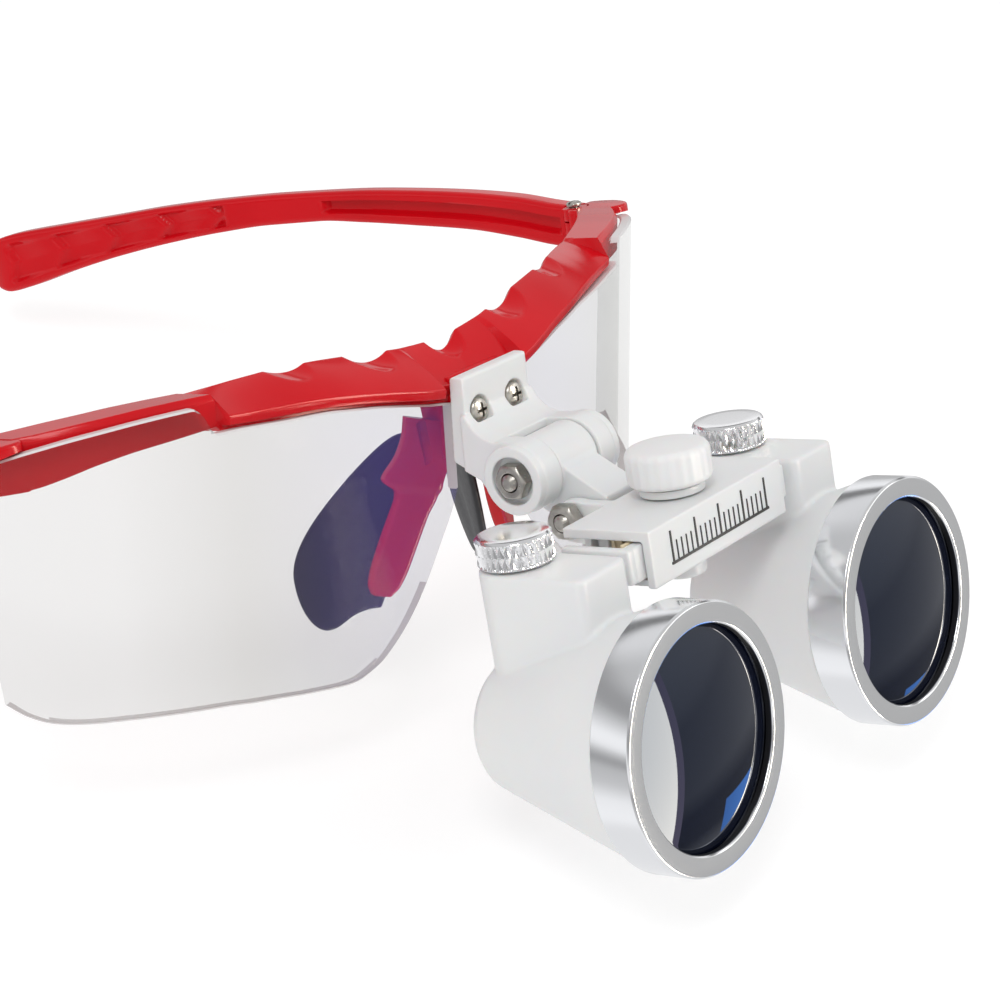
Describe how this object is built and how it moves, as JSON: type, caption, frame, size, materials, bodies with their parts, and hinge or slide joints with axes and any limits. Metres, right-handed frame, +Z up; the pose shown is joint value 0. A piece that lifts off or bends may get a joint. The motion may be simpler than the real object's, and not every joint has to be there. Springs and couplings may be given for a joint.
{
  "type": "flip-up dental loupes",
  "caption": "Flip-up binocular dental loupes on a red wrap-around frame with a white adjustable crossbar and conical barrels.",
  "frame": {"origin": "middle of the bounding box in X and Y, on the table surface that carries the front rings and the temple tips", "axes": "+X towards the wearer's left, +Y from the front rings towards the temple tips, +Z up from the table"},
  "size_m": [0.156, 0.2318, 0.0531],
  "materials": {
    "frame_plastic": "glossy saturated red injection-moulded plastic",
    "clear_lens": "clear polycarbonate with a faint anti-reflective tint",
    "pad_rubber": "matte black rubber",
    "mount_plastic": "white satin nylon with soft edges",
    "rack_plastic": "ivory acetal",
    "fastener_steel": "nickel-plated steel",
    "thumbscrew_chrome": "chrome-plated, knurled rim",
    "ring_aluminium": "satin turned aluminium with a polished edge",
    "optic_glass": "coated optical glass, dark blue reflections",
    "ring_black": "matte black"
  },
  "bodies": {
    "front": {"brow_frame": "frame_plastic", "lens_right": "clear_lens", "lens_left": "clear_lens", "nose_pad_right": "pad_rubber", "nose_pad_left": "pad_rubber", "bracket": "mount_plastic", "bracket_screw_right": "fastener_steel", "bracket_screw_left": "fastener_steel", "temple_screw_right": "fastener_steel", "temple_screw_left": "fastener_steel", "flip_bolt": "fastener_steel", "flip_nut": "fastener_steel"},
    "temple_right": {"temple_right": "frame_plastic"},
    "temple_left": {"temple_left": "frame_plastic"},
    "link": {"flip_link": "mount_plastic"},
    "carrier": {"crossbar_housing": "mount_plastic", "crossbar_cover": "mount_plastic", "tilt_bolt": "fastener_steel", "tilt_nut": "fastener_steel", "knob_washer": "mount_plastic"},
    "knob": {"adjust_knob": "mount_plastic", "pinion_shaft": "fastener_steel"},
    "slide_right": {"slide_arm_right": "mount_plastic", "rack_right": "rack_plastic"},
    "slide_left": {"slide_arm_left": "mount_plastic", "rack_left": "rack_plastic"},
    "thumbscrew_right": {"thumbscrew_right": "thumbscrew_chrome"},
    "thumbscrew_left": {"thumbscrew_left": "thumbscrew_chrome"},
    "barrel_right": {"barrel_right": "mount_plastic", "bezel_right": "ring_aluminium", "objective_right": "optic_glass", "objective_spacer_right": "ring_black", "eyepiece_right": "optic_glass", "eyepiece_ring_right": "ring_black", "thumb_nut_right": "fastener_steel"},
    "barrel_left": {"barrel_left": "mount_plastic", "bezel_left": "ring_aluminium", "objective_left": "optic_glass", "objective_spacer_left": "ring_black", "eyepiece_left": "optic_glass", "eyepiece_ring_left": "ring_black", "thumb_nut_left": "fastener_steel"}
  },
  "joints": [
    {"name": "temple_right_fold", "type": "hinge", "parent": "front", "child": "temple_right", "pos_m": [-0.072, -0.01457, 0.0432], "axis": [0, -0.2898, -0.9571], "range_deg": [0, 84]},
    {"name": "temple_left_fold", "type": "hinge", "parent": "front", "child": "temple_left", "pos_m": [0.072, -0.01457, 0.0432], "axis": [0, 0.2898, 0.9571], "range_deg": [0, 76]},
    {"name": "flip_up", "type": "hinge", "parent": "front", "child": "link", "pos_m": [0, -0.0618, 0.03629], "axis": [-1, 0, 0], "range_deg": [0, 85]},
    {"name": "declination", "type": "hinge", "parent": "link", "child": "carrier", "pos_m": [0, -0.07041, 0.032], "axis": [-1, 0, 0], "range_deg": [-12, 10]},
    {"name": "pupil_slide_right", "type": "slide", "parent": "carrier", "child": "slide_right", "axis": [-1, 0, 0], "range_m": [-0.001, 0.008]},
    {"name": "pupil_slide_left", "type": "slide", "parent": "carrier", "child": "slide_left", "axis": [1, 0, 0], "range_m": [-0.001, 0.008]},
    {"name": "knob_turn", "type": "hinge", "parent": "carrier", "child": "knob", "pos_m": [0, -0.08243, 0.04129], "axis": [0, -0.2898, -0.9571], "range_deg": [-24, 184]},
    {"name": "convergence_right", "type": "hinge", "parent": "slide_right", "child": "barrel_right", "pos_m": [-0.02805, -0.0771, 0.03131], "axis": [0, 0.2898, 0.9571], "range_deg": [-5, 5]},
    {"name": "thumbscrew_right_turn", "type": "hinge", "parent": "slide_right", "child": "thumbscrew_right", "pos_m": [-0.02805, -0.07478, 0.03897], "axis": [0, 0.2898, 0.9571], "range_deg": [0, 360]},
    {"name": "convergence_left", "type": "hinge", "parent": "slide_left", "child": "barrel_left", "pos_m": [0.02805, -0.0771, 0.03131], "axis": [0, 0.2898, 0.9571], "range_deg": [-5, 5]},
    {"name": "thumbscrew_left_turn", "type": "hinge", "parent": "slide_left", "child": "thumbscrew_left", "pos_m": [0.02805, -0.07478, 0.03897], "axis": [0, 0.2898, 0.9571], "range_deg": [0, 360]}
  ],
  "couplings": [
    {"joint": "pupil_slide_left", "follows": "pupil_slide_right", "ratio": 1},
    {"joint": "knob_turn", "follows": "pupil_slide_right", "rad_per_m": 400}
  ]
}
